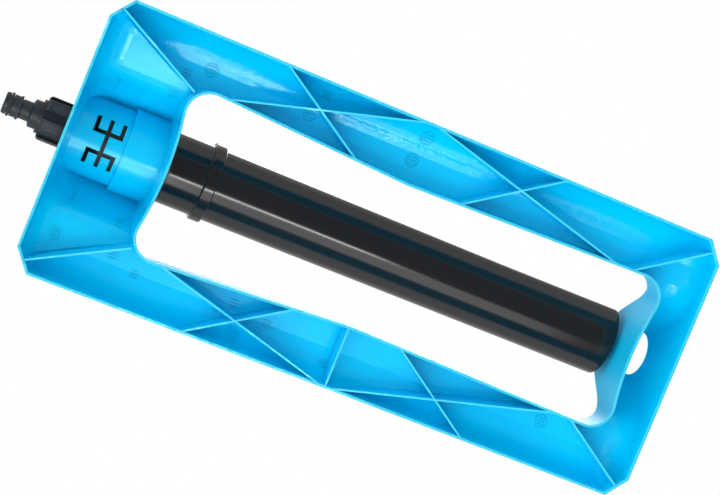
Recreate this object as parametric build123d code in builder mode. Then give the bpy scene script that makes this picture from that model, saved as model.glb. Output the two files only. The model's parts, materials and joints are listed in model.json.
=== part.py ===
from build123d import *

from math import atan2, cos, degrees, hypot, pi, radians, sin, sqrt, tan
import os

# Oscillating lawn sprinkler, millimetres, +Z up, rim of the base on Z = 0.
# The tube lies along X with the hose inlet at the -X end.
# The origin is below the middle of the overall length, inlet included.

# Base frame
base_length = 467.0
base_width = 200.0
corner_cut_x = 12.5
corner_cut_y = 16.0
wall = 1.8
outer_draft = 9.5
rail_height = 26.4
edge_round = 19.4
round_to_flat = 1.4

# Opening in the base, with what is left of the base beyond its two ends
opening_near_end = 75.5
opening_far_end = 35.9
opening_waist = 53.0
opening_flare_left = 9.1
opening_flare_right = 4.6
opening_bow = 8.0
opening_corner = 16.0
opening_draft = 2.5

# Hoods over the two ends of the tube
axis_height = 60.0
hood_skin = 0.4
far_hood_round = 27.5
flank_angle = 59.5
foot_round = 16.6

# Ribs under the base, as places along the rails from the nearer end of the opening
rib_thickness = 1.2
rib_lift = 0.6
rib_long_near = 17.0
rib_long_far = 31.6
rib_cross_near_outer = 47.5
rib_cross_near_inner = 119.0
rib_cross_far_outer = 90.5
rib_cross_far_inner = 159.1
rib_corner_far = 23.6

# Socket for the motor, from the near end, and the snap tongues in its floor, from the step
socket_step = 44.7
comb_to_step = 14.3
comb_pitch = 9.4
slot_width = 3.0
comb_gap = 6.0
comb_reach = 17.2

# Hole in the far end wall and pivot of the tube
far_hole_radius = 16.8
pivot_radius = 4.0
pivot_bush_wall = 1.5
pivot_flange_radius = 8.5
pivot_flange_thickness = 1.8
pivot_boss_wall = 2.5
pivot_boss_length = 7.0

# Spray tube, collar and end cap
tube_radius = 26.4
tube_wall = 2.2
collar_rise = 2.6
collar_length = 8.6
collar_round = 0.9
hub_flange = 3.0
plug_length = 10.0
plug_wall = 2.4
tube_end_gap = 4.2
end_cap_length = 14.5
end_cap_round = 3.5
end_cap_wall = 3.0

# Nozzles along the top of the tube
nozzle_count = 18
nozzle_margin = 17.5
nozzle_stem_radius = 2.4
nozzle_head_radius = 3.6
nozzle_tip_radius = 2.0
nozzle_head_height = 2.4
nozzle_barb_radius = 3.1
nozzle_barb_height = 1.0
nozzle_jet_radius = 0.7
nozzle_seat = 0.35

# Motor housing, its band in the socket's mouth, and the gap behind its domed cap
band_rise = 2.6
band_length = 23.0
motor_length = 75.0
motor_back_gap = 8.8
housing_wall = 2.4
front_wall = 3.2
bush_boss_wall = 2.4

# Inlet cap, filter and washer
spigot_radius = 13.0
spigot_bore = 9.0
spigot_hole_gap = 1.0
dome_round = 9.4
cap_plug_length = 6.0
washer_thickness = 2.0
washer_wall = 4.0
filter_length = 13.0
filter_flange = 1.5
filter_wall = 1.0
filter_slots = 8
filter_slot_width = 2.2

# Hose adaptor: quick-connect nipple and lobed grip nut that tucks under the near end
nipple_radius = 7.95
nipple_bore = 5.2
nipple_chamfer = 0.9
nipple_ring_at = 4.8
nipple_flange_at = 10.2
nipple_flange_radius = 8.75
nipple_flange_length = 1.2
nipple_flange_slope = 0.8
nipple_neck_radius = 7.1
nipple_neck_length = 6.4
shoulder_slope = 1.4
first_shoulder_radius = 10.3
first_shoulder_length = 5.5
second_shoulder_radius = 12.4
second_shoulder_length = 2.4
nut_wall = 3.3
nut_length = 19.6
nut_floor = 3.5
nut_tuck = 4.6
nut_chamfer = 1.6
nut_lobes = 6
nut_groove_width = 6.6
nut_groove_depth = 2.1
nut_panel_width = 6.8
nut_panel_depth = 0.6
nut_panel_margin = 3.0
nut_turn = 18.0

# Round sealing rings
ring_section = 1.1
ring_side_gap = 0.15

# Water motor
jet_plate_thickness = 4.0
jet_radius = 3.0
jet_angle = 25.0
pin_radius = 1.5
flap_pin_radius = 2.0
flap_pin_length = 3.6
flap_thickness = 2.4
flap_eye_radius = 4.2
flap_eye_gap = 2.16
flap_arm_width = 4.0
flap_pad_radius = 4.6
flap_pad_gap = 0.76
turbine_gap = 3.5
turbine_length = 7.5
turbine_disc = 1.5
turbine_hub_radius = 4.6
turbine_blades = 12
turbine_blade_inner = 8.0
turbine_blade_thickness = 1.2
turbine_blade_tilt = 25.0
plate_thickness = 2.0
plate_port_radius = 4.0
plate_port_rim = 3.4

# Gear train: pinions and wheels alternate between the tube axis and the lay shaft
wheel_gap = 1.89
pinion_teeth = 12
wheel_teeth = 30
wheel_face = 6.0
tooth_addendum = 0.85
tooth_dedendum = 1.2
pressure_angle = 20.0
backlash = 0.42

# Drive shaft from the gears to the tube
shaft_radius = 8.0
shaft_bore = 4.6
gear_seat_radius = 6.0
shaft_port_radius = 2.4
shaft_port_count = 4
bush_wall = 3.0
bush_length = 6.0
seal_length = 3.0

# Clearances
socket_gap = 0.2
running_gap = 0.05
plug_gap = 0.1
press_gap = 0.02
turn_gap = 0.4
stage_gap = 0.5
plate_hole_gap = 1.0

# Places worked out from the sizes above
flange_at_neck = nipple_flange_at + nipple_flange_length + 2 * nipple_flange_slope
nipple_length = (
    flange_at_neck + nipple_neck_length + shoulder_slope + first_shoulder_length + second_shoulder_length
)
inlet_reach = nipple_length + nut_length - nut_tuck
mid_x = inlet_reach / 2
left_end = mid_x - base_length / 2
right_end = mid_x + base_length / 2
half_width = base_width / 2
opening_left = base_length / 2 - opening_near_end
opening_right = base_length / 2 - opening_far_end
socket_bore = tube_radius + socket_gap
barrel_radius = socket_bore + wall
collar_radius = tube_radius + collar_rise
band_radius = tube_radius + band_rise
mouth_bore = band_radius + socket_gap
mouth_radius = mouth_bore + wall
skyline = axis_height + mouth_radius + 2 * wall
step_x = left_end + socket_step
band_x = step_x + wall
far_wall_x = mid_x + opening_right + axis_height * tan(radians(opening_draft))
boss_end_x = far_wall_x + wall + pivot_boss_length
bush_seat_radius = pivot_radius + running_gap + pivot_bush_wall

near_face_x = left_end + axis_height * tan(radians(outer_draft)) + wall / cos(radians(outer_draft))
cap_back_x = near_face_x + motor_back_gap
motor_x = cap_back_x + dome_round
motor_front_x = motor_x + motor_length
tube_inner = tube_radius - tube_wall
collar_x = motor_front_x + turn_gap
tube_x = collar_x + hub_flange
tube_end_x = far_wall_x - tube_end_gap
cap_x = tube_end_x - end_cap_length
free_tube = cap_x - collar_x - collar_length
nozzle_pitch = (free_tube - 2 * nozzle_margin) / (nozzle_count - 1)
nozzle_middle_x = (cap_x + collar_x + collar_length) / 2
plug_radius = tube_inner - plug_gap
seal_major = tube_inner - ring_section - press_gap
seal_groove = seal_major - ring_section - press_gap
groove_half = ring_section + ring_side_gap

motor_inner = tube_radius - housing_wall
disc_radius = motor_inner - plug_gap
cap_ring_major = motor_inner - ring_section - press_gap
cap_ring_groove = cap_ring_major - ring_section - press_gap
cap_bore = cap_ring_groove - plug_wall
bush_radius = shaft_radius + running_gap + bush_wall
bush_x = motor_front_x - bush_length
seal_x = bush_x - seal_length
tip_x = left_end - inlet_reach
nut_x = tip_x + nipple_length
washer_x = nut_x + nut_floor
spigot_x = washer_x + washer_thickness
nut_radius = spigot_radius + nut_wall

gear_module = (motor_inner - wheel_gap) / (pinion_teeth / 2 + wheel_teeth + tooth_addendum)
gear_distance = gear_module * (pinion_teeth + wheel_teeth) / 2
lay_z = axis_height - gear_distance
stage_pitch = wheel_face + stage_gap
jet_plate_x = motor_x + cap_plug_length + running_gap
turbine_x = jet_plate_x + jet_plate_thickness + stage_gap
rear_plate_x = turbine_x + turbine_length + stage_gap
first_wheel_x = rear_plate_x + plate_thickness + stage_gap
output_x = first_wheel_x + 3 * stage_pitch
front_plate_x = output_x + wheel_face + stage_gap
shaft_port_x = (front_plate_x + plate_thickness + seal_x) / 2
pinion_tip = gear_module * (pinion_teeth / 2 + tooth_addendum)
turbine_radius = motor_inner - turbine_gap
plate_port_circle = disc_radius - plate_port_radius - plate_port_rim
flap_pivot_z = axis_height + cap_bore - flap_eye_radius - flap_eye_gap
jet_circle = cap_bore - flap_pad_radius - flap_pad_gap
jet_y = jet_circle * sin(radians(jet_angle))
jet_z = axis_height - jet_circle * cos(radians(jet_angle))

tube_axis = Axis((0, 0, axis_height), (1, 0, 0))
section = Plane(origin=(0, 0, axis_height), x_dir=(1, 0, 0), z_dir=(0, -1, 0))

os.makedirs("parts", exist_ok=True)


def across(x, z=axis_height):
    """Plane square to the tube at a height, with Y to its right and Z up."""
    return Plane(origin=(x, 0, z), x_dir=(0, 1, 0), z_dir=(1, 0, 0))


def inner_edge(x):
    """Half width of the opening at a place along the base, before the corners are rounded."""
    if x < 0:
        return opening_waist - opening_flare_left * x / (opening_left + opening_bow)
    return opening_waist + opening_flare_right * x / (opening_right + opening_bow)


def drafted_block(inset):
    """Everything inside the drafted outer walls, moved in by the inset."""
    x, y = base_length / 2, half_width
    with BuildPart() as block:
        with BuildSketch(Plane((mid_x, 0, 0))):
            with BuildLine():
                Polyline(
                    (-x, -y + corner_cut_y), (-x + corner_cut_x, -y),
                    (x - corner_cut_x, -y), (x, -y + corner_cut_y),
                    (x, y - corner_cut_y), (x - corner_cut_x, y),
                    (-x + corner_cut_x, y), (-x, y - corner_cut_y),
                    close=True,
                )
            make_face()
            if inset > 0:
                offset(amount=-inset, kind=Kind.INTERSECTION, mode=Mode.REPLACE)
        extrude(amount=skyline, taper=outer_draft)
    return block.part


def opening_block(inset):
    """The opening between the rails, widening upwards, with its walls moved out by the inset."""
    left, right = -opening_left - opening_bow, opening_right + opening_bow
    left_half, right_half = inner_edge(left), inner_edge(right)
    with BuildPart() as block:
        with BuildSketch(Plane((mid_x, 0, 0))) as outline:
            with BuildLine():
                Polyline((left, -left_half), (0, -opening_waist), (right, -right_half))
                ThreePointArc((right, -right_half), (opening_right, 0), (right, right_half))
                Polyline((right, right_half), (0, opening_waist), (left, left_half))
                ThreePointArc((left, left_half), (-opening_left, 0), (left, -left_half))
            make_face()
            corners = outline.vertices().sort_by(Axis.X)
            fillet(corners[:2] + corners[-2:], radius=opening_corner)
            if inset > 0:
                offset(amount=inset, mode=Mode.REPLACE)
        extrude(amount=skyline, taper=-opening_draft)
    return block.part


def flank_points(head, inset):
    """Points down one flank of a hood: where its head ends, its foot starts and its foot ends."""
    radius = head - inset
    deck = rail_height - inset
    run, drop = cos(radians(flank_angle)), sin(radians(flank_angle))
    brow = (radius * drop, axis_height + radius * run)
    knee = brow[0] + (brow[1] - deck) * run / drop
    reach = (foot_round + inset) * tan(radians(flank_angle / 2))
    return brow, (knee - reach * run, deck + reach * drop), (knee + reach, deck)


def hood(start, end, head, inset):
    """Bell-shaped ridge along X: round head, straight flanks and hollow feet on the deck."""
    brow, shin, toe = flank_points(head, inset)
    deck = toe[1]
    with BuildPart() as ridge:
        with BuildSketch(across(start, 0)):
            with BuildLine():
                ThreePointArc((-brow[0], brow[1]), (0, axis_height + head - inset), brow)
                right_flank = Line(brow, shin)
                TangentArc(shin, toe, tangent=right_flank % 1)
                Polyline(toe, (toe[0], 0), (-toe[0], 0), (-toe[0], deck))
                left_flank = Line((-brow[0], brow[1]), (-shin[0], shin[1]))
                TangentArc((-shin[0], shin[1]), (-toe[0], deck), tangent=left_flank % 1)
            make_face()
        extrude(amount=end - start)
    return ridge.part


def frame_block(inset):
    """The base as a filled block, with every outer face moved in by the inset."""
    draft_lean = sin(radians(outer_draft))
    near_end = mid_x - opening_left - opening_bow + opening_corner
    far_start = mid_x + opening_right + opening_bow - opening_corner
    near_head = barrel_radius + hood_skin
    near_hood = hood(left_end, near_end, near_head, inset)
    far_hood = hood(far_start, right_end, far_hood_round, inset)
    # The edge is rounded no more than the flat beside the wider hood's foot lets it
    foot = max(flank_points(near_head, 0)[2][0], flank_points(far_hood_round, 0)[2][0])
    edge_limit = round_to_flat * (half_width - corner_cut_y - foot)
    walls = drafted_block(inset)
    opening = opening_block(inset)
    with BuildPart() as block:
        with BuildSketch(Plane((mid_x, 0, 0))):
            Rectangle(base_length, base_width)
        extrude(amount=rail_height - inset)
        add(near_hood)
        add(far_hood)
        add(walls, mode=Mode.INTERSECT)
        wall_faces = block.faces().filter_by(lambda f: abs(f.normal_at().Z - draft_lean) < 0.01)
        top_edges = wall_faces.edges().filter_by(lambda e: e.center().Z > 0.75 * rail_height)
        fillet(top_edges, radius=min(edge_round, edge_limit) - inset)
        add(opening, mode=Mode.SUBTRACT)
    return block.part


def rib_lines():
    """End points of every rib: from the outer wall to the edge of the opening."""
    lines = []
    for side in (-1, 1):
        for outer, inner in (
            (0, rib_long_near - opening_left),
            (0, opening_right - rib_long_far),
            (rib_cross_near_outer - opening_left, rib_cross_near_inner - opening_left),
            (opening_right - rib_cross_far_outer, opening_right - rib_cross_far_inner),
        ):
            lines.append(((outer, side * half_width), (inner, side * inner_edge(inner))))
        corner = (base_length / 2 - corner_cut_x / 2, side * (half_width - corner_cut_y / 2))
        far = opening_right - rib_corner_far
        lines.append((corner, (far, side * inner_edge(far))))
        sharp = -opening_left - opening_bow
        shave = opening_corner * (1 - cos(pi / 4))
        near = (sharp + shave, side * (inner_edge(sharp) - shave))
        lines.append(((-corner[0], corner[1]), near))
    lines.append(((0, opening_waist), (0, half_width)))
    return lines


# Base frame: drafted hollow moulding with ribs, hoods, socket and pivot boss
outer_block = frame_block(0.0)
hollow = frame_block(wall)
opening_cut = opening_block(0.0)

with BuildPart() as ribs:
    with BuildSketch(Plane((mid_x, 0, rib_lift))):
        for start, end in rib_lines():
            span = Vector(*end) - Vector(*start)
            middle = Vector(*start) + span * 0.5
            with Locations((middle.X, middle.Y)):
                Rectangle(span.length, rib_thickness, rotation=degrees(atan2(span.Y, span.X)))
    extrude(amount=rail_height)
    add(hollow, mode=Mode.INTERSECT)

# Stepped socket for the motor, kept inside the hood at its closed end
mouth_x = left_end + opening_near_end + opening_bow
with BuildPart() as envelope:
    add(outer_block)
    with BuildSketch(across(step_x - wall)):
        Circle(axis_height)
    extrude(amount=mouth_x - step_x + 2 * wall)
with BuildPart() as socket:
    with BuildSketch(section):
        with BuildLine():
            Polyline(
                (left_end, socket_bore),
                (mouth_x, socket_bore),
                (mouth_x, mouth_radius),
                (step_x, mouth_radius),
                (step_x, barrel_radius),
                (left_end, barrel_radius),
                close=True,
            )
        make_face()
    revolve(axis=tube_axis)
    add(opening_cut, mode=Mode.SUBTRACT)
    add(envelope.part, mode=Mode.INTERSECT)

with BuildPart() as base_frame:
    add(outer_block)
    add(hollow, mode=Mode.SUBTRACT)
    add(ribs.part)
    add(socket.part)
    # Bore of the socket's wide mouth, through the wall that faces the opening
    with BuildSketch(across(band_x)):
        Circle(mouth_bore)
    extrude(amount=mouth_x - band_x, mode=Mode.SUBTRACT)
    # Comb-shaped slots that leave four snap tongues in the socket's floor
    with BuildSketch(Plane((step_x - comb_to_step, 0, 0))):
        Rectangle(slot_width, 2 * comb_gap + slot_width)
        with Locations((0, comb_gap + slot_width / 2), (0, -comb_gap - slot_width / 2)):
            Rectangle(2 * comb_pitch + slot_width, slot_width)
        with GridLocations(comb_pitch, comb_gap + comb_reach, 3, 2):
            Rectangle(slot_width, comb_reach - comb_gap)
    extrude(amount=axis_height, mode=Mode.SUBTRACT)
    # Hole for the inlet spigot in the near end wall
    with BuildSketch(across(left_end)):
        Circle(spigot_radius + spigot_hole_gap)
    extrude(amount=cap_back_x - left_end, mode=Mode.SUBTRACT)
    # Pivot boss behind the far inner wall, its bore, and the round hole in the far end wall
    with BuildSketch(across(far_wall_x + wall / 2)):
        Circle(bush_seat_radius + press_gap + pivot_boss_wall)
    extrude(amount=boss_end_x - far_wall_x - wall / 2)
    with BuildSketch(across(far_wall_x - wall)):
        Circle(bush_seat_radius + press_gap)
    extrude(amount=boss_end_x - far_wall_x + wall, mode=Mode.SUBTRACT)
    with BuildSketch(across(boss_end_x)):
        Circle(far_hole_radius)
    extrude(amount=right_end - boss_end_x, mode=Mode.SUBTRACT)
base_frame.part.label = "base_frame"
export_step(base_frame.part, "parts/base_frame.step")

# Pivot bush: flanged sleeve pushed into the boss from the opening
with BuildPart() as pivot_bush:
    with BuildSketch(across(far_wall_x - stage_gap - pivot_flange_thickness)):
        Circle(pivot_flange_radius)
    extrude(amount=pivot_flange_thickness)
    with BuildSketch(across(far_wall_x - stage_gap)):
        Circle(bush_seat_radius)
    extrude(amount=boss_end_x - far_wall_x + stage_gap)
    with BuildSketch(across(far_wall_x - stage_gap - pivot_flange_thickness)):
        Circle(pivot_radius + running_gap)
    extrude(amount=boss_end_x - far_wall_x + stage_gap + pivot_flange_thickness, mode=Mode.SUBTRACT)
pivot_bush.part.label = "pivot_bush"
export_step(pivot_bush.part, "parts/pivot_bush.step")

# Spray tube with a spot-faced hole for each nozzle
with BuildPart() as spray_tube:
    with BuildSketch(across(tube_x)):
        Circle(tube_radius)
        Circle(tube_inner, mode=Mode.SUBTRACT)
    extrude(amount=cap_x - tube_x)
    with Locations((nozzle_middle_x, 0, axis_height + tube_radius)):
        with GridLocations(nozzle_pitch, 1, nozzle_count, 1):
            CounterBoreHole(
                radius=nozzle_stem_radius + press_gap,
                counter_bore_radius=nozzle_head_radius + press_gap,
                counter_bore_depth=nozzle_seat,
                depth=2 * tube_wall,
            )
spray_tube.part.label = "spray_tube"
export_step(spray_tube.part, "parts/spray_tube.step")

# Nozzles: soft mushroom plugs held by a barb inside the tube
seat_z = axis_height + tube_radius - nozzle_seat
barb_drop = axis_height + sqrt(tube_inner**2 - nozzle_barb_radius**2) - plug_gap - seat_z
with BuildPart() as nozzle:
    with BuildSketch(Plane.XZ):
        with BuildLine():
            Polyline(
                (nozzle_jet_radius, nozzle_head_height),
                (nozzle_jet_radius, barb_drop - nozzle_barb_height),
                (nozzle_stem_radius, barb_drop - nozzle_barb_height),
                (nozzle_barb_radius, barb_drop),
                (nozzle_stem_radius, barb_drop),
                (nozzle_stem_radius, 0),
                (nozzle_head_radius, 0),
                (nozzle_head_radius, nozzle_head_height / 3),
                (nozzle_tip_radius, nozzle_head_height),
                close=True,
            )
        make_face()
    revolve(axis=Axis.Z)
with BuildPart() as spray_nozzles:
    with Locations((nozzle_middle_x, 0, seat_z)):
        with GridLocations(nozzle_pitch, 1, nozzle_count, 1):
            add(nozzle.part)
spray_nozzles.part.label = "spray_nozzles"
export_step(spray_nozzles.part, "parts/spray_nozzles.step")

# End cap: rounded cup plugged into the tube, with the pivot pin
cap_groove_x = cap_x - plug_length / 2
with BuildPart() as end_cap:
    with BuildSketch(section):
        with BuildLine():
            Polyline(
                (tube_end_x - end_cap_wall, 0),
                (boss_end_x, 0),
                (boss_end_x, pivot_radius),
                (tube_end_x, pivot_radius),
                (tube_end_x, tube_radius),
                (cap_x, tube_radius),
                (cap_x, plug_radius),
                (cap_groove_x + groove_half, plug_radius),
                (cap_groove_x + groove_half, seal_groove),
                (cap_groove_x - groove_half, seal_groove),
                (cap_groove_x - groove_half, plug_radius),
                (cap_x - plug_length, plug_radius),
                (cap_x - plug_length, seal_groove - plug_wall),
                (tube_end_x - end_cap_wall, seal_groove - plug_wall),
                close=True,
            )
        make_face()
    revolve(axis=tube_axis)
    circles = end_cap.edges().filter_by(GeomType.CIRCLE)
    rim = circles.filter_by(lambda e: abs(e.center().X - tube_end_x) < running_gap)
    fillet(rim.sort_by(SortBy.RADIUS)[-1], radius=end_cap_round)
    chamfer(end_cap.edges().filter_by(GeomType.CIRCLE).sort_by(Axis.X)[-1], length=pivot_radius / 5)
end_cap.part.label = "end_cap"
export_step(end_cap.part, "parts/end_cap.step")

with BuildPart() as end_cap_o_ring:
    with Locations(Plane((cap_groove_x, 0, axis_height), z_dir=(1, 0, 0))):
        Torus(seal_major, ring_section)
end_cap_o_ring.part.label = "end_cap_o_ring"
export_step(end_cap_o_ring.part, "parts/end_cap_o_ring.step")

# Retaining collar over the joint of hub and tube
with BuildPart() as retaining_collar:
    with BuildSketch(across(collar_x)):
        Circle(collar_radius)
        Circle(tube_radius + press_gap, mode=Mode.SUBTRACT)
    extrude(amount=collar_length)
    rims = retaining_collar.edges().filter_by(GeomType.CIRCLE).sort_by(SortBy.RADIUS)
    fillet(rims[-2:], radius=collar_round)
retaining_collar.part.label = "retaining_collar"
export_step(retaining_collar.part, "parts/retaining_collar.step")

# Drive hub: hollow shaft with water ports, flange and plug in one turned piece
hub_groove_x = tube_x + plug_length / 2
shoulder_x = output_x + wheel_face
with BuildPart() as drive_hub:
    with BuildSketch(section):
        with BuildLine():
            Polyline(
                (output_x, 0),
                (shoulder_x, 0),
                (shoulder_x, shaft_bore),
                (tube_x, shaft_bore),
                (tube_x, seal_groove - plug_wall),
                (tube_x + plug_length, seal_groove - plug_wall),
                (tube_x + plug_length, plug_radius),
                (hub_groove_x + groove_half, plug_radius),
                (hub_groove_x + groove_half, seal_groove),
                (hub_groove_x - groove_half, seal_groove),
                (hub_groove_x - groove_half, plug_radius),
                (tube_x, plug_radius),
                (tube_x, tube_radius),
                (collar_x, tube_radius),
                (collar_x, shaft_radius),
                (shoulder_x, shaft_radius),
                (shoulder_x, gear_seat_radius),
                (output_x, gear_seat_radius),
                close=True,
            )
        make_face()
    revolve(axis=tube_axis)
    with Locations(Plane((shaft_port_x, 0, axis_height), z_dir=(1, 0, 0))):
        with PolarLocations(0, shaft_port_count):
            with Locations(Rotation(0, 90, 0)):
                Cylinder(
                    shaft_port_radius,
                    shaft_radius + running_gap,
                    align=(Align.CENTER, Align.CENTER, Align.MIN),
                    mode=Mode.SUBTRACT,
                )
drive_hub.part.label = "drive_hub"
export_step(drive_hub.part, "parts/drive_hub.step")

with BuildPart() as hub_o_ring:
    with Locations(Plane((hub_groove_x, 0, axis_height), z_dir=(1, 0, 0))):
        Torus(seal_major, ring_section)
hub_o_ring.part.label = "hub_o_ring"
export_step(hub_o_ring.part, "parts/hub_o_ring.step")

# Motor housing: stepped can with a boss for the shaft bush and seal
boss_radius = bush_radius + press_gap + bush_boss_wall
with BuildPart() as motor_housing:
    with BuildSketch(section):
        with BuildLine():
            Polyline(
                (motor_x, motor_inner),
                (motor_front_x - front_wall, motor_inner),
                (motor_front_x - front_wall, boss_radius),
                (seal_x, boss_radius),
                (seal_x, bush_radius + press_gap),
                (motor_front_x, bush_radius + press_gap),
                (motor_front_x, tube_radius),
                (band_x + band_length, tube_radius),
                (band_x + band_length, band_radius),
                (band_x, band_radius),
                (band_x, tube_radius),
                (motor_x, tube_radius),
                close=True,
            )
        make_face()
    revolve(axis=tube_axis)
motor_housing.part.label = "motor_housing"
export_step(motor_housing.part, "parts/motor_housing.step")

with BuildPart() as shaft_bush:
    with BuildSketch(across(bush_x)):
        Circle(bush_radius)
        Circle(shaft_radius + running_gap, mode=Mode.SUBTRACT)
    extrude(amount=bush_length)
shaft_bush.part.label = "shaft_bush"
export_step(shaft_bush.part, "parts/shaft_bush.step")

with BuildPart() as shaft_seal:
    with BuildSketch(across(seal_x)):
        Circle(bush_radius)
        Circle(shaft_radius + running_gap, mode=Mode.SUBTRACT)
    extrude(amount=seal_length)
shaft_seal.part.label = "shaft_seal"
export_step(shaft_seal.part, "parts/shaft_seal.step")

# Inlet cap: domed lid plugged into the motor, with the spigot that takes the hose adaptor
cap_ring_x = motor_x + cap_plug_length / 2
with BuildPart() as inlet_cap:
    with BuildSketch(section):
        with BuildLine():
            dome = RadiusArc((motor_x, tube_radius), (cap_back_x, tube_radius - dome_round), -dome_round)
            Polyline(
                dome @ 1,
                (cap_back_x, spigot_radius),
                (spigot_x, spigot_radius),
                (spigot_x, spigot_bore),
                (cap_back_x + housing_wall, spigot_bore),
                (cap_back_x + housing_wall, cap_bore),
                (motor_x + cap_plug_length, cap_bore),
                (motor_x + cap_plug_length, disc_radius),
                (cap_ring_x + groove_half, disc_radius),
                (cap_ring_x + groove_half, cap_ring_groove),
                (cap_ring_x - groove_half, cap_ring_groove),
                (cap_ring_x - groove_half, disc_radius),
                (motor_x, disc_radius),
                dome @ 0,
            )
        make_face()
    revolve(axis=tube_axis)
inlet_cap.part.label = "inlet_cap"
export_step(inlet_cap.part, "parts/inlet_cap.step")

with BuildPart() as cap_o_ring:
    with Locations(Plane((cap_ring_x, 0, axis_height), z_dir=(1, 0, 0))):
        Torus(cap_ring_major, ring_section)
cap_o_ring.part.label = "cap_o_ring"
export_step(cap_o_ring.part, "parts/cap_o_ring.step")

with BuildPart() as inlet_washer:
    with BuildSketch(across(washer_x)):
        Circle(spigot_radius)
        Circle(spigot_radius - washer_wall, mode=Mode.SUBTRACT)
    extrude(amount=washer_thickness)
inlet_washer.part.label = "inlet_washer"
export_step(inlet_washer.part, "parts/inlet_washer.step")

# Inlet filter: slotted cup with a flange, pushed into the spigot
filter_radius = spigot_bore - plug_gap - filter_flange
with BuildPart() as inlet_filter:
    with BuildSketch(section):
        with BuildLine():
            Polyline(
                (spigot_x + running_gap, filter_radius - filter_wall),
                (spigot_x + filter_length - filter_wall, filter_radius - filter_wall),
                (spigot_x + filter_length - filter_wall, 0),
                (spigot_x + filter_length, 0),
                (spigot_x + filter_length, filter_radius),
                (spigot_x + running_gap + filter_flange, filter_radius),
                (spigot_x + running_gap + filter_flange, spigot_bore - press_gap),
                (spigot_x + running_gap, spigot_bore - press_gap),
                close=True,
            )
        make_face()
    revolve(axis=tube_axis)
    with BuildSketch(across(spigot_x + 2 * filter_flange)):
        with PolarLocations(filter_radius, filter_slots):
            Rectangle(4 * filter_wall, filter_slot_width)
    extrude(amount=filter_length - 2 * filter_flange - 2 * filter_wall, mode=Mode.SUBTRACT)
inlet_filter.part.label = "inlet_filter"
export_step(inlet_filter.part, "parts/inlet_filter.step")

# Hose adaptor: turned nipple and nut, then grooves between the grip lobes and a panel in each
nose_ring_x = tip_x + nipple_ring_at
nose_ring_major = nipple_flange_radius - ring_section
nose_groove = nose_ring_major - ring_section - press_gap
flange_x = tip_x + nipple_flange_at
neck_x = tip_x + flange_at_neck
first_x = neck_x + nipple_neck_length + shoulder_slope
second_x = first_x + first_shoulder_length
nut_end_x = nut_x + nut_length
with BuildPart() as hose_adaptor:
    with BuildSketch(section):
        with BuildLine():
            Polyline(
                (tip_x, nipple_bore),
                (washer_x, nipple_bore),
                (washer_x, spigot_radius + plug_gap),
                (nut_end_x, spigot_radius + plug_gap),
                (nut_end_x, nut_radius),
                (nut_x + nut_chamfer, nut_radius),
                (nut_x, nut_radius - nut_chamfer),
                (nut_x, second_shoulder_radius),
                (second_x, second_shoulder_radius),
                (second_x, first_shoulder_radius),
                (first_x, first_shoulder_radius),
                (first_x - shoulder_slope, nipple_neck_radius),
                (neck_x, nipple_neck_radius),
                (neck_x - nipple_flange_slope, nipple_flange_radius),
                (flange_x + nipple_flange_slope, nipple_flange_radius),
                (flange_x, nipple_radius),
                (nose_ring_x + groove_half, nipple_radius),
                (nose_ring_x + groove_half, nose_groove),
                (nose_ring_x - groove_half, nose_groove),
                (nose_ring_x - groove_half, nipple_radius),
                (tip_x + nipple_chamfer, nipple_radius),
                (tip_x, nipple_radius - nipple_chamfer),
                close=True,
            )
        make_face()
    revolve(axis=tube_axis)
    with BuildSketch(across(nut_x)):
        with PolarLocations(nut_radius, nut_lobes, start_angle=nut_turn):
            Rectangle(2 * nut_groove_depth, nut_groove_width)
    extrude(amount=nut_length, mode=Mode.SUBTRACT)
    with BuildSketch(across(nut_x + nut_panel_margin)):
        with PolarLocations(nut_radius, nut_lobes, start_angle=nut_turn + 180 / nut_lobes):
            Rectangle(2 * nut_panel_depth, nut_panel_width)
    extrude(amount=nut_length - 2 * nut_panel_margin, mode=Mode.SUBTRACT)
hose_adaptor.part.label = "hose_adaptor"
export_step(hose_adaptor.part, "parts/hose_adaptor.step")

with BuildPart() as adaptor_o_ring:
    with Locations(Plane((nose_ring_x, 0, axis_height), z_dir=(1, 0, 0))):
        Torus(nose_ring_major, ring_section)
adaptor_o_ring.part.label = "adaptor_o_ring"
export_step(adaptor_o_ring.part, "parts/adaptor_o_ring.step")

# Jet plate with two jets, the turbine pin's hole and the pivot pin of the flap
with BuildPart() as jet_plate:
    with BuildSketch(across(jet_plate_x)):
        Circle(disc_radius)
        Circle(pin_radius + press_gap, mode=Mode.SUBTRACT)
        with Locations((jet_y, jet_z - axis_height), (-jet_y, jet_z - axis_height)):
            Circle(jet_radius, mode=Mode.SUBTRACT)
    extrude(amount=jet_plate_thickness)
    with BuildSketch(across(jet_plate_x, flap_pivot_z)):
        Circle(flap_pin_radius)
    extrude(amount=-flap_pin_length)
jet_plate.part.label = "jet_plate"
export_step(jet_plate.part, "parts/jet_plate.step")

# Reversing flap, resting over the jet on the +Y side
flap_reach = hypot(jet_y, flap_pivot_z - jet_z)
flap_plane = Plane(
    origin=(jet_plate_x - turn_gap - flap_thickness, 0, flap_pivot_z),
    x_dir=(0, jet_y, jet_z - flap_pivot_z),
    z_dir=(1, 0, 0),
)
with BuildPart() as reversing_flap:
    with BuildSketch(flap_plane):
        Circle(flap_eye_radius)
        with Locations((flap_reach, 0)):
            Circle(flap_pad_radius)
        with Locations((flap_reach / 2, 0)):
            Rectangle(flap_reach, flap_arm_width)
        Circle(flap_pin_radius + running_gap, mode=Mode.SUBTRACT)
    extrude(amount=flap_thickness)
reversing_flap.part.label = "reversing_flap"
export_step(reversing_flap.part, "parts/reversing_flap.step")


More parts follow.
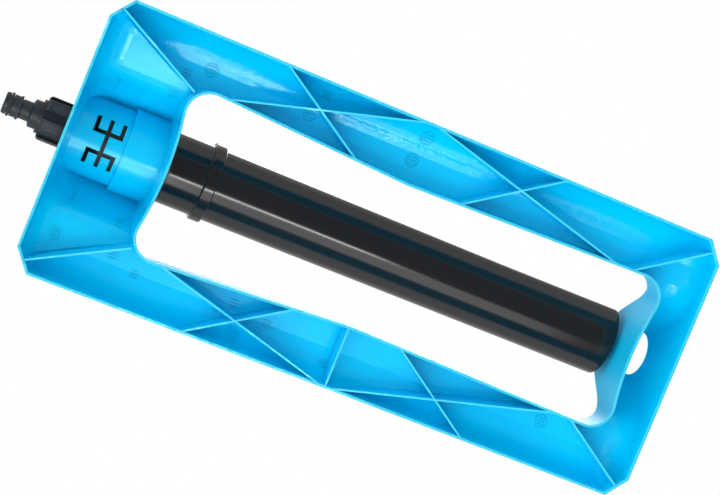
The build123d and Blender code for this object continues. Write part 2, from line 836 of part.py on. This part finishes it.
def gear_points(teeth, turn):
    """Outline of a gear with straight-sided teeth, one tooth pointing at the turn angle."""
    pitch_radius = gear_module * teeth / 2
    slope = tan(radians(pressure_angle))
    half_pitch = (pi * gear_module - backlash) / 4
    root, tip = -tooth_dedendum * gear_module, tooth_addendum * gear_module
    points = []
    for tooth in range(teeth):
        middle = radians(turn) + 2 * pi * tooth / teeth
        for side, rise in ((-1, root), (-1, tip), (1, tip), (1, root)):
            radius = pitch_radius + rise
            half = (half_pitch - rise * slope) * side
            y = radius * cos(middle) - half * sin(middle)
            z = radius * sin(middle) + half * cos(middle)
            points.append((y, z))
    return points


def compound_gear(start, z, mate):
    """Wheel and pinion in one piece, free on its pin; the mate angle points at the other axis."""
    with BuildPart() as gear:
        with BuildSketch(across(start, z)):
            with BuildLine():
                Polyline(*gear_points(wheel_teeth, mate + 180 / wheel_teeth), close=True)
            make_face()
        extrude(amount=wheel_face)
        with BuildSketch(across(start + wheel_face, z)):
            with BuildLine():
                Polyline(*gear_points(pinion_teeth, mate), close=True)
            make_face()
        extrude(amount=stage_pitch)
        with BuildSketch(across(start, z)):
            Circle(pin_radius + running_gap)
        extrude(amount=wheel_face + stage_pitch, mode=Mode.SUBTRACT)
    return gear.part


# Turbine: bladed disc with the first pinion, free on the turbine pin
with BuildPart() as turbine:
    with BuildSketch(across(turbine_x + turbine_length - turbine_disc)):
        Circle(turbine_radius)
    extrude(amount=turbine_disc)
    with BuildSketch(across(turbine_x)):
        Circle(turbine_hub_radius)
        with PolarLocations((turbine_blade_inner + turbine_radius) / 2 - plug_gap, turbine_blades):
            Rectangle(
                turbine_radius - turbine_blade_inner,
                turbine_blade_thickness,
                rotation=turbine_blade_tilt,
            )
    extrude(amount=turbine_length - turbine_disc)
    with BuildSketch(across(turbine_x + turbine_length)):
        with BuildLine():
            Polyline(*gear_points(pinion_teeth, -90), close=True)
        make_face()
    extrude(amount=first_wheel_x + wheel_face - turbine_x - turbine_length)
    with BuildSketch(across(turbine_x)):
        Circle(pin_radius + running_gap)
    extrude(amount=first_wheel_x + wheel_face - turbine_x, mode=Mode.SUBTRACT)
turbine.part.label = "turbine"
export_step(turbine.part, "parts/turbine.step")

with BuildPart() as turbine_pin:
    with BuildSketch(across(jet_plate_x)):
        Circle(pin_radius)
    extrude(amount=output_x - stage_gap - jet_plate_x)
turbine_pin.part.label = "turbine_pin"
export_step(turbine_pin.part, "parts/turbine_pin.step")

# Three compound gears, in turn on the lay shaft, the turbine pin and the lay shaft
with BuildPart() as compound_gear_1:
    add(compound_gear(first_wheel_x, lay_z, 90))
compound_gear_1.part.label = "compound_gear_1"
export_step(compound_gear_1.part, "parts/compound_gear_1.step")

with BuildPart() as compound_gear_2:
    add(compound_gear(first_wheel_x + stage_pitch, axis_height, -90))
compound_gear_2.part.label = "compound_gear_2"
export_step(compound_gear_2.part, "parts/compound_gear_2.step")

with BuildPart() as compound_gear_3:
    add(compound_gear(first_wheel_x + 2 * stage_pitch, lay_z, 90))
compound_gear_3.part.label = "compound_gear_3"
export_step(compound_gear_3.part, "parts/compound_gear_3.step")

with BuildPart() as output_gear:
    with BuildSketch(across(output_x)):
        with BuildLine():
            Polyline(*gear_points(wheel_teeth, -90 + 180 / wheel_teeth), close=True)
        make_face()
        Circle(gear_seat_radius + press_gap, mode=Mode.SUBTRACT)
    extrude(amount=wheel_face)
output_gear.part.label = "output_gear"
export_step(output_gear.part, "parts/output_gear.step")

# Gear plates that carry the lay shaft, with ports for the water
with BuildPart() as rear_gear_plate:
    with BuildSketch(across(rear_plate_x)):
        Circle(disc_radius)
        Circle(pinion_tip + plate_hole_gap, mode=Mode.SUBTRACT)
        with Locations((0, -gear_distance)):
            Circle(pin_radius + press_gap, mode=Mode.SUBTRACT)
        with PolarLocations(plate_port_circle, 3, start_angle=30, angular_range=180):
            Circle(plate_port_radius, mode=Mode.SUBTRACT)
    extrude(amount=plate_thickness)
rear_gear_plate.part.label = "rear_gear_plate"
export_step(rear_gear_plate.part, "parts/rear_gear_plate.step")

with BuildPart() as front_gear_plate:
    with BuildSketch(across(front_plate_x)):
        Circle(disc_radius)
        Circle(shaft_radius + plate_hole_gap, mode=Mode.SUBTRACT)
        with Locations((0, -gear_distance)):
            Circle(pin_radius + press_gap, mode=Mode.SUBTRACT)
        with PolarLocations(plate_port_circle, 3, start_angle=30, angular_range=180):
            Circle(plate_port_radius, mode=Mode.SUBTRACT)
    extrude(amount=plate_thickness)
front_gear_plate.part.label = "front_gear_plate"
export_step(front_gear_plate.part, "parts/front_gear_plate.step")

with BuildPart() as lay_shaft:
    with BuildSketch(across(rear_plate_x, lay_z)):
        Circle(pin_radius)
    extrude(amount=front_plate_x + plate_thickness - rear_plate_x)
lay_shaft.part.label = "lay_shaft"
export_step(lay_shaft.part, "parts/lay_shaft.step")
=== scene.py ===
import json

import bmesh
import bpy
import numpy as np
from mathutils import Matrix, Vector


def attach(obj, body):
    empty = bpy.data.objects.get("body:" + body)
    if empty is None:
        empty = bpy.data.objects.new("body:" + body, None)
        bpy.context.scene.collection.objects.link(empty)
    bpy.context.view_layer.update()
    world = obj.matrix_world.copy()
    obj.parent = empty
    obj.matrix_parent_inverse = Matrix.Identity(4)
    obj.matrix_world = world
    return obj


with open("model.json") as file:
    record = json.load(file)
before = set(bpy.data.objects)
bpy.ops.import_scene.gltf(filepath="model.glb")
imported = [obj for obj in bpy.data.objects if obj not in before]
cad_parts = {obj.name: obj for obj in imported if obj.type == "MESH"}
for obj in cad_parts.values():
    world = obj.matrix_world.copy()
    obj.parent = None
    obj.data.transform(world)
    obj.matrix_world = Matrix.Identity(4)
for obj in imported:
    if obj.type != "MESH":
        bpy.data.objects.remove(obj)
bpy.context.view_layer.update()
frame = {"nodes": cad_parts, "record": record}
nodes = frame["nodes"]
print("frame loaded:", len(nodes), "nodes")


# camera: looking up at the underside, as in the photograph
cameraSpec = {
    "place": (-0.251278, -0.078737, -1.301062),
    "right": (0.911321, -0.380097, -0.158177),
    "down": (0.362915, 0.923089, -0.127275),
    "ahead": (0.194388, 0.058584, 0.979174),
    "focalPixels": 1911.86,
    "widthPixels": 720,
    "sensor": 36.0,
    "clip": (0.01, 50),
}


def addCamera(spec):
    data = bpy.data.cameras.new("photoCamera")
    data.sensor_fit = "HORIZONTAL"
    data.sensor_width = spec["sensor"]
    data.lens = spec["focalPixels"] / spec["widthPixels"] * spec["sensor"]
    data.clip_start, data.clip_end = spec["clip"]
    camera = bpy.data.objects.new("photoCamera", data)
    right, down, ahead = (Vector(spec[k]) for k in ("right", "down", "ahead"))
    turn = Matrix((right, -down, -ahead)).transposed()
    camera.matrix_world = Matrix.Translation(spec["place"]) @ turn.to_4x4()
    bpy.context.scene.collection.objects.link(camera)
    bpy.context.scene.camera = camera


addCamera(cameraSpec)
print("camera placed")


# shader maths: a socket that takes part in Python expressions
class Sock:
    def __init__(self, shade, socket):
        self.shade, self.socket = shade, socket

    def maths(self, operation, first, second):
        return self.shade.node("ShaderNodeMath", {"operation": operation}, {0: first, 1: second})

    def __add__(self, other):
        return self.maths("ADD", self, other)

    def __radd__(self, other):
        return self.maths("ADD", other, self)

    def __sub__(self, other):
        return self.maths("SUBTRACT", self, other)

    def __rsub__(self, other):
        return self.maths("SUBTRACT", other, self)

    def __mul__(self, other):
        return self.maths("MULTIPLY", self, other)

    def __rmul__(self, other):
        return self.maths("MULTIPLY", other, self)

    def __pow__(self, other):
        return self.maths("POWER", self, other)

    def __abs__(self):
        return self.shade.node("ShaderNodeMath", {"operation": "ABSOLUTE"}, {0: self})


class Shade:
    def __init__(self, owner):
        owner.use_nodes = True
        self.owner, self.tree = owner, owner.node_tree
        self.tree.nodes.clear()

    # any node: its type, its settings first, then what goes into its sockets
    def node(self, kind, settings=None, sockets=None, out=0):
        made = self.tree.nodes.new(kind)
        for key, value in (settings or {}).items():
            setattr(made, key, value)
        for key, value in (sockets or {}).items():
            if isinstance(value, Sock):
                self.tree.links.new(value.socket, made.inputs[key])
            else:
                made.inputs[key].default_value = value
        return Sock(self, made.outputs[out]) if made.outputs else None

    def place(self):
        return self.node("ShaderNodeTexCoord", out="Object")

    def along(self, axis, place=None):
        return self.node("ShaderNodeSeparateXYZ", None, {0: place or self.place()}, out=axis)

    def noise(self, scale, detail, rough, stretch=(1, 1, 1)):
        spot = self.node("ShaderNodeMapping", None, {"Vector": self.place(), "Scale": stretch})
        return self.node(
            "ShaderNodeTexNoise", None,
            {"Vector": spot, "Scale": scale, "Detail": detail, "Roughness": rough},
        )

    # 0 at low, 1 at high, straight between them
    def ramp(self, value, low, high):
        ends = {"Value": value, "From Min": low, "From Max": high}
        return self.node("ShaderNodeMapRange", {"clamp": True}, ends)

    # a Mix node keeps its colours in sockets 6 and 7 and gives them in output 2
    def mix(self, factor, first, second):
        colours = {0: factor, 6: first, 7: second}
        return self.node("ShaderNodeMix", {"data_type": "RGBA"}, colours, out=2)

    def bump(self, height, distance, strength=1.0, over=None):
        sockets = {"Height": height, "Distance": distance, "Strength": strength}
        if over:
            sockets["Normal"] = over
        return self.node("ShaderNodeBump", None, sockets)

    def close(self, sockets):
        surface = self.node("ShaderNodeBsdfPrincipled", None, sockets)
        self.node("ShaderNodeOutputMaterial", None, {"Surface": surface})
        return self.owner


def newFinish(name):
    return Shade(bpy.data.materials.new(name))


# finishes, one for each material slot of the record
# a noise is its scale, detail, roughness and stretch, and a skin its bump's depth and strength
noiseMean = 0.5

blueSpec = {
    "deep": (0.0, 0.48, 0.80, 1),
    "pale": (0.0, 0.525, 0.86, 1),
    "flow": (9.0, 3.0, 0.55, (1, 1.6, 1.6)),    # slow drift of the pigment
    "flowRange": (0.35, 0.65),
    "edge": (0.06, 0.57, 0.84, 1),              # painted highlight: thin edges are coloured paler, standing in for the light they gather
    "edgeHeight": (0.0008, 0.0016),
    "speck": (300.0, 3.0, 0.6),                 # orange peel that breaks up highlights
    "wave": (70.0, 1.0, 0.4),                   # sink and flow of the moulding
    "waveShare": 2.0,
    "skin": (0.00005, 0.6),
    "rough": 0.16,
    "roughSpeck": 0.12,
    "roughFlow": 0.06,
    "roughOutside": 0.30,                       # the outer faces are satin
    "outside": (-0.02, -0.005),                 # Z of such a face's normal
    "sheen": (0.55, 1.0, 1.0, 1),               # tint of what the pigment's surface mirrors
    "mirror": 0.5, "refraction": 1.47,
    "seep": 0.6, "glow": 0.006,                 # light that seeps through thin walls, how far
    "glowColour": (0.2, 1.0, 0.9),
    "lean": 0.175,                              # slope by which the deck falls to its turn
    "leanFrom": 0.0756, "turnStart": 0.0792, "leanEnd": 0.0822,
    "cornerFrom": 0.0595, "cornerToe": 0.0627,
    "cornerLine": (-0.0316, 1.935, 0.0026),     # where the rail starts: X, slope, softness
    "under": (-0.5, -0.9),                      # Z of a normal on the deck's underside
    "uneven": (28.0, 2.0, 0.5),                 # the real deck is never quite straight
    "unevenShare": (0.8, 0.4),
    "mottle": (220.0, 2.0, 0.6),                # mottled skin that frays the rail's highlights
    "mottleHeight": 0.0003,
}


def bluePlastic(spec):
    shade = newFinish("blueMoulding")
    flow, speck, wave = (shade.noise(*spec[k]) for k in ("flow", "speck", "wave"))
    body = shade.mix(shade.ramp(flow, *spec["flowRange"]), spec["deep"], spec["pale"])
    # painted highlight: the lowest 1.6 mm of every wall, at the rim, fades to the paler colour
    edge = 1 - shade.ramp(shade.along("Z"), *spec["edgeHeight"])
    facing = shade.along("Z", shade.node("ShaderNodeNewGeometry", out="True Normal"))
    away = abs(shade.along("Y"))
    # the deck's own fall: a straight slope up to the turn that eases out inside the turn
    flat = spec["turnStart"] - spec["leanFrom"]
    turn = spec["leanEnd"] - spec["turnStart"]
    reach = shade.ramp(away, spec["turnStart"], spec["leanEnd"])
    rounded = turn * reach * (1 - 0.5 * reach)
    sloped = shade.ramp(away, spec["leanFrom"], spec["turnStart"])
    rail = flat * sloped + rounded
    # in the corner the slope grows as the foot of the hood runs out, then stays
    ease = spec["cornerToe"] - spec["cornerFrom"]
    eased = shade.ramp(away, spec["cornerFrom"], spec["cornerToe"])
    wide = spec["turnStart"] - spec["cornerToe"]
    steady = shade.ramp(away, spec["cornerToe"], spec["turnStart"])
    corner = 0.5 * ease * eased * eased + wide * steady + rounded
    start, steep, soft = spec["cornerLine"]
    onRail = shade.ramp(shade.along("X") + steep * away - start, 0.0, soft)
    swell = corner + (rail - corner) * onRail
    least, spread = spec["unevenShare"]
    uneven = least + spread * shade.noise(*spec["uneven"])
    mottle = spec["mottleHeight"] * (onRail * sloped) * shade.noise(*spec["mottle"])
    under = shade.ramp(facing, *spec["under"])
    fall = shade.bump((spec["lean"] * swell * uneven + mottle) * under, 1.0)
    return shade.close({
        "Base Color": shade.mix(edge, body, spec["edge"]),
        "Roughness": spec["rough"] + spec["roughOutside"] * shade.ramp(facing, *spec["outside"])
        + spec["roughSpeck"] * (speck - noiseMean) + spec["roughFlow"] * (flow - noiseMean),
        "Normal": shade.bump(speck + spec["waveShare"] * wave, *spec["skin"], fall),
        "Specular Tint": spec["sheen"],
        "Specular IOR Level": spec["mirror"],
        "IOR": spec["refraction"],
        "Subsurface Weight": spec["seep"],
        "Subsurface Radius": spec["glowColour"],
        "Subsurface Scale": spec["glow"],
    })


blackSpec = {
    "dark": (0.003, 0.004, 0.005, 1),
    "worn": (0.009, 0.010, 0.012, 1),
    "drift": (6.0, 3.0, 0.5, (0.4, 2.0, 2.0)),
    "driftRange": (0.3, 0.7),
    "scuff": (900.0, 3.0, 0.7, (0.05, 1, 1)),   # fine lines drawn along the tube
    "scuffRange": (0.45, 0.75),
    "wave": (45.0, 1.0, 0.4, (0.3, 1, 1)),
    "skin": (0.00004, 0.35),
    "rough": 0.11,
    "roughScuff": 0.05,
    "roughDrift": 0.04,
    "roughInside": 0.4,                         # the motor in the socket is left as moulded
    "socketEnd": (-0.134, -0.131),
    "refraction": 1.46,
}


def blackGloss(spec):
    shade = newFinish("blackGloss")
    drift, scuff, wave = (shade.noise(*spec[k]) for k in ("drift", "scuff", "wave"))
    inside = 1 - shade.ramp(shade.along("X"), *spec["socketEnd"])
    return shade.close({
        "Base Color": shade.mix(
            shade.ramp(drift, *spec["driftRange"]), spec["dark"], spec["worn"]
        ),
        "Roughness": spec["rough"] + spec["roughScuff"] * shade.ramp(scuff, *spec["scuffRange"])
        + spec["roughDrift"] * drift + spec["roughInside"] * inside,
        "Normal": shade.bump(wave, *spec["skin"]),
        "IOR": spec["refraction"],
    })


greySpec = {
    "dark": (0.011, 0.017, 0.022, 1),
    "pale": (0.020, 0.027, 0.033, 1),
    "drift": (60.0, 3.0, 0.6),
    "driftRange": (0.35, 0.65),
    "hollow": (0.007, 0.010, 0.013, 1),         # painted shade in the nut's grooves and by the frame
    "axisHeight": 0.060,
    "grooveRadius": (0.0143, 0.0152),
    "nutStart": (-0.2266, -0.2262),
    "wallSide": (-0.2150, -0.2105),
    "grain": (2200.0, 2.0, 0.6),
    "skin": (0.00003, 0.6),
    "rough": 0.42,
    "roughDrift": 0.12,
    "refraction": 1.42,
}


def greySatin(spec):
    shade = newFinish("charcoalSatin")
    drift, grain = (shade.noise(*spec[k]) for k in ("drift", "grain"))
    colour = shade.mix(shade.ramp(drift, *spec["driftRange"]), spec["dark"], spec["pale"])
    x, y, rise = shade.along("X"), shade.along("Y"), shade.along("Z") - spec["axisHeight"]
    radius = (y * y + rise * rise) ** 0.5
    # painted shade: the nut's grooves and the grey part's stretch inside the frame's end wall are
    # coloured darker
    onNut = shade.ramp(x, *spec["nutStart"])
    grooveShade = onNut * (1 - shade.ramp(radius, *spec["grooveRadius"]))
    shadow = shade.ramp(x, *spec["wallSide"])
    shaded = shade.node("ShaderNodeMath", {"operation": "MAXIMUM"}, {0: grooveShade, 1: shadow})
    return shade.close({
        "Base Color": shade.mix(shaded, colour, spec["hollow"]),
        "Roughness": spec["rough"] + spec["roughDrift"] * (drift - noiseMean),
        "Normal": shade.bump(grain, *spec["skin"]),
        "IOR": spec["refraction"],
    })


rubberSpec = {
    "dark": (0.010, 0.010, 0.011, 1),
    "dusty": (0.030, 0.030, 0.032, 1),
    "dust": (240.0, 4.0, 0.65),
    "dustRange": (0.4, 0.75),
    "grain": (3000.0, 2.0, 0.5),
    "skin": (0.00003, 0.7),
    "rough": 0.62,
    "roughDust": 0.15,
}
nozzleSpec = {**rubberSpec, "dark": (0.022, 0.023, 0.025, 1)}


def softRubber(name, spec):
    shade = newFinish(name)
    dust, grain = (shade.noise(*spec[k]) for k in ("dust", "grain"))
    return shade.close({
        "Base Color": shade.mix(
            shade.ramp(dust, *spec["dustRange"]), spec["dark"], spec["dusty"]
        ),
        "Roughness": spec["rough"] + spec["roughDust"] * (dust - noiseMean),
        "Normal": shade.bump(grain, *spec["skin"]),
    })


acetalSpec = {
    "pale": (0.74, 0.73, 0.69, 1),
    "warm": (0.66, 0.64, 0.58, 1),
    "drift": (110.0, 3.0, 0.5),
    "driftRange": (0.35, 0.7),
    "grain": (1800.0, 2.0, 0.6),
    "skin": (0.00002, 0.5),
    "rough": 0.38,
    "roughDrift": 0.1,
}


def acetal(spec):
    shade = newFinish("naturalAcetal")
    drift, grain = (shade.noise(*spec[k]) for k in ("drift", "grain"))
    return shade.close({
        "Base Color": shade.mix(
            shade.ramp(drift, *spec["driftRange"]), spec["pale"], spec["warm"]
        ),
        "Roughness": spec["rough"] + spec["roughDrift"] * (drift - noiseMean),
        "Normal": shade.bump(grain, *spec["skin"]),
    })


steelSpec = {
    "pale": (0.62, 0.62, 0.64, 1),
    "dark": (0.46, 0.46, 0.48, 1),
    "lines": (2600.0, 3.0, 0.6, (0.03, 1, 1)),  # left by drawing the wire
    "skin": (0.00001, 0.5),
    "rough": 0.24,
    "roughLines": 0.16,
}


def drawnSteel(spec):
    shade = newFinish("drawnSteel")
    lines = shade.noise(*spec["lines"])
    return shade.close({
        "Base Color": shade.mix(lines, spec["dark"], spec["pale"]),
        "Metallic": 1.0,
        "Roughness": spec["rough"] + spec["roughLines"] * (lines - noiseMean),
        "Normal": shade.bump(lines, *spec["skin"]),
    })


finishes = {
    "blue_plastic": bluePlastic(blueSpec),
    "black_plastic": blackGloss(blackSpec),
    "grey_plastic": greySatin(greySpec),
    "rubber": softRubber("sealRubber", rubberSpec),
    "soft_nozzle": softRubber("nozzleRubber", nozzleSpec),
    "natural_plastic": acetal(acetalSpec),
    "pin_steel": drawnSteel(steelSpec),
}
for entry in frame["record"]["subparts"]:
    mesh = nodes[entry["node"]].data
    mesh.materials.clear()
    mesh.materials.append(finishes[entry["material_slot"]])


# ejector marks on the underside: groups of three short ridges, some inside a raised ring
markSpec = {
    "deck": 0.0246,             # underside of the deck
    "turnStart": 0.0792,        # where the deck starts to turn down into the outer wall
    "turnRadius": 0.0176,
    "turnShare": 0.98,          # how much of the turn a mark may reach
    "footRadius": 0.0184,       # hollow foot of the hoods
    "flankSlope": 1.698,
    "nearHood": {"end": -0.128, "toe": 0.0627, "shin": 0.04684, "knee": 0.05218},
    "farHood": {"end": 0.211, "toe": 0.0605, "shin": 0.04464, "knee": 0.04998},
    "ridgePitch": 0.0022,
    "ridgeLength": 0.0068,
    "ridgeWidth": 0.00032,
    "ridgeHeight": 0.00034,
    "ridgeRows": 17,
    "endPower": 6,              # the higher, the blunter a ridge ends
    "ringRadius": 0.0047,
    "ringWidth": 0.00026,
    "ringHeight": 0.00024,
    "ringRows": 61,
    "beadSides": 10,
    "mergeWithin": 1e-7,
    "plain": (
        (-0.1890, 0.0422), (-0.1515, 0.0474), (-0.1477, 0.0690), (-0.1896, -0.0433),
        (-0.1505, -0.0501), (-0.1473, -0.0672), (-0.0520, -0.0900), (-0.0565, 0.0697),
        (-0.0291, 0.0752), (0.0186, 0.0866), (0.2127, 0.0640), (-0.1293, 0.0761),
    ),
    "ringed": (
        (-0.1916, 0.0697), (-0.1322, -0.0757), (-0.0573, -0.0733), (0.0258, -0.0890),
        (0.0225, -0.0706), (0.1851, 0.0693), (-0.0500, 0.0900),
    ),
}


# grids of points (pieces, rows, columns, 3) as one mesh of quads; columns close into rings, and
# points that coincide are merged, which closes poles and the seams of rings
def gridMesh(name, points, material, mergeWithin):
    count, rows, columns = points.shape[:3]
    index = np.arange(count * rows * columns).reshape(count, rows, columns)
    nextColumn = np.roll(index, -1, axis=2)
    quads = np.stack(
        [index[:, :-1], index[:, 1:], nextColumn[:, 1:], nextColumn[:, :-1]], axis=-1
    ).reshape(-1, 4)
    mesh = bpy.data.meshes.new(name)
    mesh.vertices.add(points.size // 3)
    mesh.vertices.foreach_set("co", points.reshape(-1).astype(np.float32))
    mesh.loops.add(quads.size)
    mesh.loops.foreach_set("vertex_index", quads.reshape(-1).astype(np.int32))
    mesh.polygons.add(len(quads))
    mesh.polygons.foreach_set("loop_start", np.arange(0, quads.size, 4, dtype=np.int32))
    mesh.polygons.foreach_set("use_smooth", np.ones(len(quads), dtype=bool))
    mesh.update(calc_edges=True)
    shell = bmesh.new()
    shell.from_mesh(mesh)
    bmesh.ops.remove_doubles(shell, verts=shell.verts, dist=mergeWithin)
    shell.to_mesh(mesh)
    shell.free()
    mesh.validate()
    mesh.materials.append(material)
    piece = bpy.data.objects.new(name, mesh)
    bpy.context.scene.collection.objects.link(piece)
    return piece


# height of the underside: a flat deck that turns down to the outer wall by a quarter round,
# and beside each hood rises by a round foot, then by a straight flank
def undersideHeight(x, y, spec):
    side = np.abs(y)
    over = np.clip(side - spec["turnStart"], 0, spec["turnShare"] * spec["turnRadius"])
    height = spec["deck"] - spec["turnRadius"] + np.sqrt(spec["turnRadius"] ** 2 - over**2)
    near, far = spec["nearHood"], spec["farHood"]
    for hood, beside in ((near, x < near["end"]), (far, x > far["end"])):
        inside = np.clip(hood["toe"] - side, 0, hood["toe"] - hood["shin"])
        foot = spec["footRadius"] - np.sqrt(spec["footRadius"] ** 2 - inside**2)
        flank = spec["flankSlope"] * (hood["knee"] - side)
        height = height + beside * np.where(side < hood["shin"], flank, foot)
    return height


# a bead along each path (count, rows, 2) on the underside: an ellipse, half sunk in the surface,
# stands at every row along the direction across the path (rows, 2), and its size follows the taper
def beadsUnder(paths, across, taper, width, height, spec):
    angle = np.linspace(0, 2 * np.pi, spec["beadSides"], endpoint=False)
    aside = (width * taper[:, None] * np.cos(angle))[:, :, None] * across[:, None, :]
    spot = paths[:, :, None, :] + aside[None]
    drop = height * taper[:, None] * np.sin(angle)
    rise = undersideHeight(spot[..., 0], spot[..., 1], spec) - drop[None]
    return np.concatenate([spot, rise[..., None]], axis=-1)


# ridges are straight beads along X: with t from -1 to 1 from end to end, the taper is the root
# of 1 less a high power of t, so both ends close to a point; rings are beads round a circle
def addMarks(spec):
    blue, mergeWithin = finishes["blue_plastic"], spec["mergeWithin"]
    t = np.linspace(-1, 1, spec["ridgeRows"])
    offsets = np.array((-1, 0, 1)) * spec["ridgePitch"]
    lines = np.stack(np.broadcast_arrays(t * spec["ridgeLength"] / 2, offsets[:, None]), -1)
    centres = np.array(spec["plain"] + spec["ringed"])
    ridges = (centres[:, None, None, :] + lines[None]).reshape(-1, len(t), 2)
    acrossX = np.stack([0 * t, 1 + 0 * t], -1)
    taper = np.sqrt(1 - t ** spec["endPower"])
    points = beadsUnder(ridges, acrossX, taper, spec["ridgeWidth"], spec["ridgeHeight"], spec)
    pieces = [gridMesh("ejectorRidges", points, blue, mergeWithin)]
    turn = np.linspace(0, 2 * np.pi, spec["ringRows"])
    outward = np.stack([np.cos(turn), np.sin(turn)], -1)
    rings = np.array(spec["ringed"])[:, None, :] + spec["ringRadius"] * outward[None]
    taper = np.ones(len(turn))
    points = beadsUnder(rings, -outward, taper, spec["ringWidth"], spec["ringHeight"], spec)
    pieces.append(gridMesh("ejectorRings", points, blue, mergeWithin))
    for piece in pieces:
        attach(piece, "base")
    print("ejector marks:", len(centres))


addMarks(markSpec)


# stage: a pale floor that only the camera sees, and only from above; it fades out to white
floorSpec = {
    "size": 40.0,
    "colour": (0.86, 0.86, 0.86, 1),
    "fade": (0.35, 0.95),       # distance from the middle over which it turns white
}


def addFloor(spec):
    half = spec["size"] / 2
    u, v = np.meshgrid(np.linspace(-half, half, 2), np.linspace(-half, half, 2))
    points = np.stack([u, v, np.zeros_like(u)], -1).reshape(-1, 3)
    mesh = bpy.data.meshes.new("floor")
    mesh.from_pydata(points.tolist(), [], [(0, 1, 3, 2)])
    floor = bpy.data.objects.new("floor", mesh)
    bpy.context.scene.collection.objects.link(floor)
    shade = newFinish("paleFloor")
    seen = shade.node("ShaderNodeLightPath", out="Is Camera Ray")
    behind = shade.node("ShaderNodeNewGeometry", out="Backfacing")
    grey = shade.node("ShaderNodeBsdfDiffuse", None, {"Color": spec["colour"]})
    clear = shade.node("ShaderNodeBsdfTransparent")
    away = {0: shade.place()}
    reach = shade.node("ShaderNodeVectorMath", {"operation": "LENGTH"}, away, out="Value")
    white = shade.node("ShaderNodeEmission", None, {"Color": (1, 1, 1, 1), "Strength": 1.0})
    faded = shade.node(
        "ShaderNodeMixShader", None, {0: shade.ramp(reach, *spec["fade"]), 1: grey, 2: white}
    )
    both = shade.node("ShaderNodeMixShader", None, {0: seen * (1 - behind), 1: clear, 2: faded})
    shade.node("ShaderNodeOutputMaterial", None, {"Surface": both})
    mesh.materials.append(shade.owner)


# white all round for the camera; mirrored views find the studio dim straight below, and a wide
# soft fill comes from the inlet side below; a pair gives the ends of a change, by the Z of the
# direction, by its X for far and by its angle's cosine for the fill
worldSpec = {
    "mirrorLeast": 0.28, "mirrorBelow": (-0.75, -0.1),
    "mirrorDim": 0.35, "mirrorAbove": (0.0, 0.4),
    "ambient": 1.15,
    "dimAbove": 0.75, "above": (-0.2, 0.4),
    "leastBelow": 0.46, "below": (-0.95, -0.5),
    "dimFar": 0.8, "far": (0.0, 0.6),
    "fill": 0.8, "fillFrom": (-0.58, 0.2, -0.79), "fillSpread": (0.45, 0.95),
}


def lightWorld(spec):
    world = bpy.data.worlds.new("studio")
    bpy.context.scene.world = world
    shade = Shade(world)
    seen = shade.node("ShaderNodeLightPath", out="Is Camera Ray")
    mirrored = shade.node("ShaderNodeLightPath", out="Is Glossy Ray")
    through = shade.node("ShaderNodeLightPath", out="Is Transmission Ray")
    direction = shade.node("ShaderNodeTexCoord", out="Generated")
    height = shade.along("Z", direction)
    least = spec["mirrorLeast"]
    lit = least + (1 - least) * shade.ramp(height, *spec["mirrorBelow"])
    lit = lit * (1 - spec["mirrorDim"] * shade.ramp(height, *spec["mirrorAbove"]))
    aimed = {0: direction, 1: spec["fillFrom"]}
    toFill = shade.node("ShaderNodeVectorMath", {"operation": "DOT_PRODUCT"}, aimed, out="Value")
    fill = spec["fill"] * shade.ramp(toFill, *spec["fillSpread"])
    shaded = 1 - spec["dimAbove"] * shade.ramp(height, *spec["above"])
    least = spec["leastBelow"]
    slant = least + (1 - least) * shade.ramp(height, *spec["below"])
    far = 1 - spec["dimFar"] * shade.ramp(shade.along("X", direction), *spec["far"])
    soft = spec["ambient"] * shaded * slant * far + fill
    shown = seen + through
    strength = shown + mirrored * lit + (1 - shown - mirrored) * soft
    white = shade.node("ShaderNodeBackground", None, {"Color": (1, 1, 1, 1), "Strength": strength})
    shade.node("ShaderNodeOutputWorld", None, {"Surface": white})


addFloor(floorSpec)
lightWorld(worldSpec)

# soft boxes: place, aim, size along and across, power in watts
lampSpec = {
    "stripBelow": ((0.115, 0.34, -1.14), (0.115, 0, 0.03), 0.35, 0.10, 1.7),
    "cornerBelow": ((-0.13, 0.644, -1.04), (-0.13, 0, 0.03), 0.22, 0.62, 1.35),
    "sideBelow": ((-0.08, 0.69, -1.07), (-0.08, 0, 0.03), 1.35, 0.70, 6.2),
    "keyAbove": ((0.5, -0.4, 1.35), (0, 0, 0.03), 1.0, 1.0, 18.0),
}


def addLamp(name, place, aim, along, across, power):
    data = bpy.data.lights.new(name, "AREA")
    data.shape, data.size, data.size_y, data.energy = "RECTANGLE", along, across, power
    lamp = bpy.data.objects.new(name, data)
    lamp.location = place
    lamp.rotation_euler = (Vector(aim) - Vector(place)).to_track_quat("-Z", "Y").to_euler()
    lamp.visible_camera = False
    bpy.context.scene.collection.objects.link(lamp)


for lampName, values in lampSpec.items():
    addLamp(lampName, *values)
bpy.context.scene.view_settings.view_transform = "Standard"
print("stage and lamps set")
